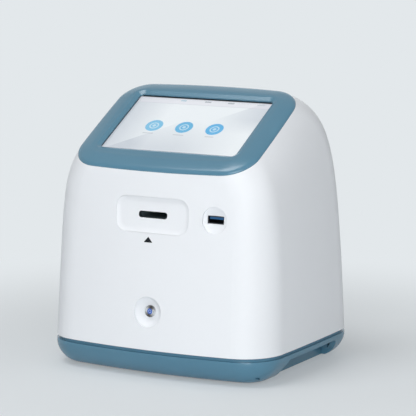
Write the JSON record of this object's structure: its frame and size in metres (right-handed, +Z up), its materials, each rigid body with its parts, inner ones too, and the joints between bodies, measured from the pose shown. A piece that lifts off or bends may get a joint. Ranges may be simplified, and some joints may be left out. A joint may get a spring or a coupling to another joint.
{
  "type": "automated cell counter",
  "caption": "Benchtop cell counter with a tilted touch screen, a front slide slot over a focusing camera, a USB socket and a power button.",
  "frame": {"origin": "on the table under the middle of the base", "axes": "+Z up, the front with the slide slot faces -Y, +X to the right as a user faces the front"},
  "size_m": [0.2104, 0.186, 0.2283],
  "materials": {
    "cover_white": "satin moulded ABS, white",
    "base_blue": "fine-textured moulded ABS, blue-grey",
    "screen_glass": "clear cover glass",
    "display_face": "display module",
    "dark_plastic": "black moulded plastic",
    "sheet_steel": "zinc-plated sheet",
    "bright_steel": "polished steel",
    "aluminium_part": "milled, clear anodised",
    "black_anodised": "black anodised",
    "brass_part": "turned brass",
    "lens_glass": "polished optical glass",
    "circuit_green": "solder-masked circuit board",
    "socket_blue": "blue moulded insulator",
    "light_blue": "clear blue light pipe",
    "foot_rubber": "black rubber",
    "panel_grey": "powder-coated sheet steel"
  },
  "bodies": {
    "instrument": {"housing_shell": "cover_white", "base_tray": "base_blue", "screen_bezel": "base_blue", "touch_glass": "screen_glass", "display_panel": "display_face", "display_bracket": "sheet_steel", "bracket_screws": "bright_steel", "slot_surround": "cover_white", "slide_channel": "dark_plastic", "channel_cover": "dark_plastic", "slide_switch_body": "dark_plastic", "optics_frame": "aluminium_part", "frame_screws": "bright_steel", "guide_rods": "bright_steel", "focus_motor": "black_anodised", "screw_bearing": "brass_part", "lamp_housing": "black_anodised", "condenser_lens": "lens_glass", "lamp_board": "circuit_green", "usb_shell": "bright_steel", "usb_tongue": "socket_blue", "usb_board": "circuit_green", "button_barrel": "bright_steel", "button_nut": "brass_part", "button_contacts": "dark_plastic", "main_board": "circuit_green", "board_standoffs": "brass_part", "board_screws": "bright_steel", "heat_sink": "black_anodised", "rear_panel": "panel_grey", "panel_screws": "bright_steel", "fan_frame": "dark_plastic", "dc_inlet": "dark_plastic", "switch_frame": "dark_plastic", "rubber_feet": "foot_rubber", "base_screws": "bright_steel"},
    "power_button": {"button_cap": "bright_steel", "button_lens": "light_blue"},
    "focus_stage": {"focus_carriage": "aluminium_part", "lead_nut": "brass_part", "camera_housing": "black_anodised", "camera_sensor": "dark_plastic", "objective_barrel": "black_anodised", "objective_lens": "lens_glass"},
    "focus_screw": {"lead_screw": "bright_steel"},
    "fan_blades": {"fan_rotor": "dark_plastic"},
    "power_rocker": {"switch_rocker": "dark_plastic"},
    "slide_lever": {"slide_switch_lever": "bright_steel"}
  },
  "joints": [
    {"name": "power_button_press", "type": "slide", "parent": "instrument", "child": "power_button", "axis": [0, 1, 0], "range_m": [0, 0.001], "stiffness_N_per_m": 1500, "springref_m": -0.001},
    {"name": "focus_travel", "type": "slide", "parent": "instrument", "child": "focus_stage", "axis": [0, 0, 1], "range_m": [-0.003, 0.003]},
    {"name": "lead_screw_turn", "type": "hinge", "parent": "instrument", "child": "focus_screw", "pos_m": [0, -0.026, 0.08], "axis": [0, 0, 1], "range_deg": [-540, 540]},
    {"name": "fan_spin", "type": "hinge", "parent": "instrument", "child": "fan_blades", "pos_m": [0.017, 0.07, 0.067], "axis": [0, 1, 0], "continuous": true},
    {"name": "rear_switch_rock", "type": "hinge", "parent": "instrument", "child": "power_rocker", "pos_m": [-0.03, 0.079, 0.08], "axis": [-1, 0, 0], "range_deg": [0, 18]},
    {"name": "slide_lever_press", "type": "hinge", "parent": "instrument", "child": "slide_lever", "pos_m": [0, -0.003, 0.12777], "axis": [-1, 0, 0], "range_deg": [0, 8], "stiffness_Nm_per_rad": 0.02}
  ],
  "couplings": [
    {"joint": "lead_screw_turn", "follows": "focus_travel", "rad_per_m": 3141.6}
  ]
}
